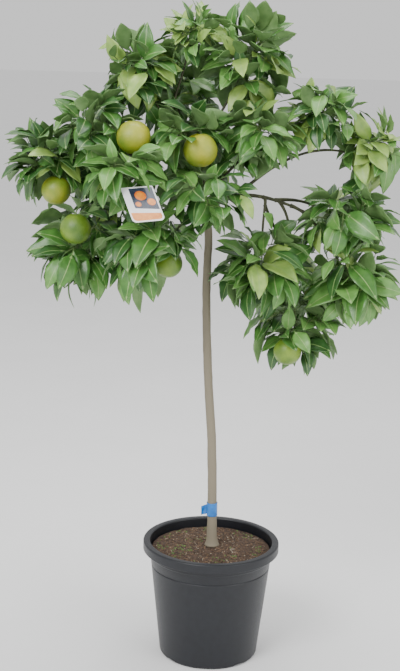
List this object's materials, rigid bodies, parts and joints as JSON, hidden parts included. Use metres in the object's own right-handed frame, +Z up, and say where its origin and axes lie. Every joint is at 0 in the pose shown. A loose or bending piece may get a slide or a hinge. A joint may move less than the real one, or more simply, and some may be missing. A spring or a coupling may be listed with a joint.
{
  "type": "potted sweet orange tree",
  "caption": "Standard sweet orange tree with a slender trunk, spreading leafy crown and green fruit, in a round plastic nursery pot filled with soil.",
  "frame": {"origin": "middle of the pot's flat underside", "axes": "+Z up the trunk, -Y towards the front, +X to the right seen from the front"},
  "size_m": [0.8387, 0.602, 1.4195],
  "materials": {
    "pot": "satin",
    "soil": "matte",
    "bark": "matte",
    "foliage": "satin",
    "band": "satin",
    "label": "satin"
  },
  "bodies": {
    "root": {"pot": "pot", "soil": "soil", "trunk": "bark", "trunk_band": "band", "hang_label": "label", "bough_left_crest": "bark", "bough_right_leader": "bark", "bough_middle_crest": "bark", "bough_left_tip": "bark", "bough_left_shoulder": "bark", "bough_left_fall": "bark", "bough_left_front": "bark", "bough_heart": "bark", "bough_front_fall": "bark", "bough_fruit_heart": "bark", "bough_right_heart": "bark", "bough_right_shoulder": "bark", "bough_right_reach": "bark", "bough_right_arm": "bark", "bough_right_fall": "bark", "bough_right_drop": "bark", "bough_right_hem": "bark", "bough_back_left": "bark", "bough_back_left_fall": "bark", "bough_back_crest": "bark", "bough_back_heart": "bark", "bough_back_right": "bark", "bough_back_right_fall": "bark", "foliage_left_crest": "foliage", "foliage_right_leader": "foliage", "foliage_middle_crest": "foliage", "foliage_left_tip": "foliage", "foliage_left_shoulder": "foliage", "foliage_left_fall": "foliage", "foliage_left_front": "foliage", "foliage_heart": "foliage", "foliage_front_fall": "foliage", "foliage_fruit_heart": "foliage", "foliage_right_heart": "foliage", "foliage_right_shoulder": "foliage", "foliage_right_reach": "foliage", "foliage_right_arm": "foliage", "foliage_right_fall": "foliage", "foliage_right_drop": "foliage", "foliage_right_hem": "foliage", "foliage_back_left": "foliage", "foliage_back_left_fall": "foliage", "foliage_back_crest": "foliage", "foliage_back_heart": "foliage", "foliage_back_right": "foliage", "foliage_back_right_fall": "foliage"}
  },
  "joints": []
}
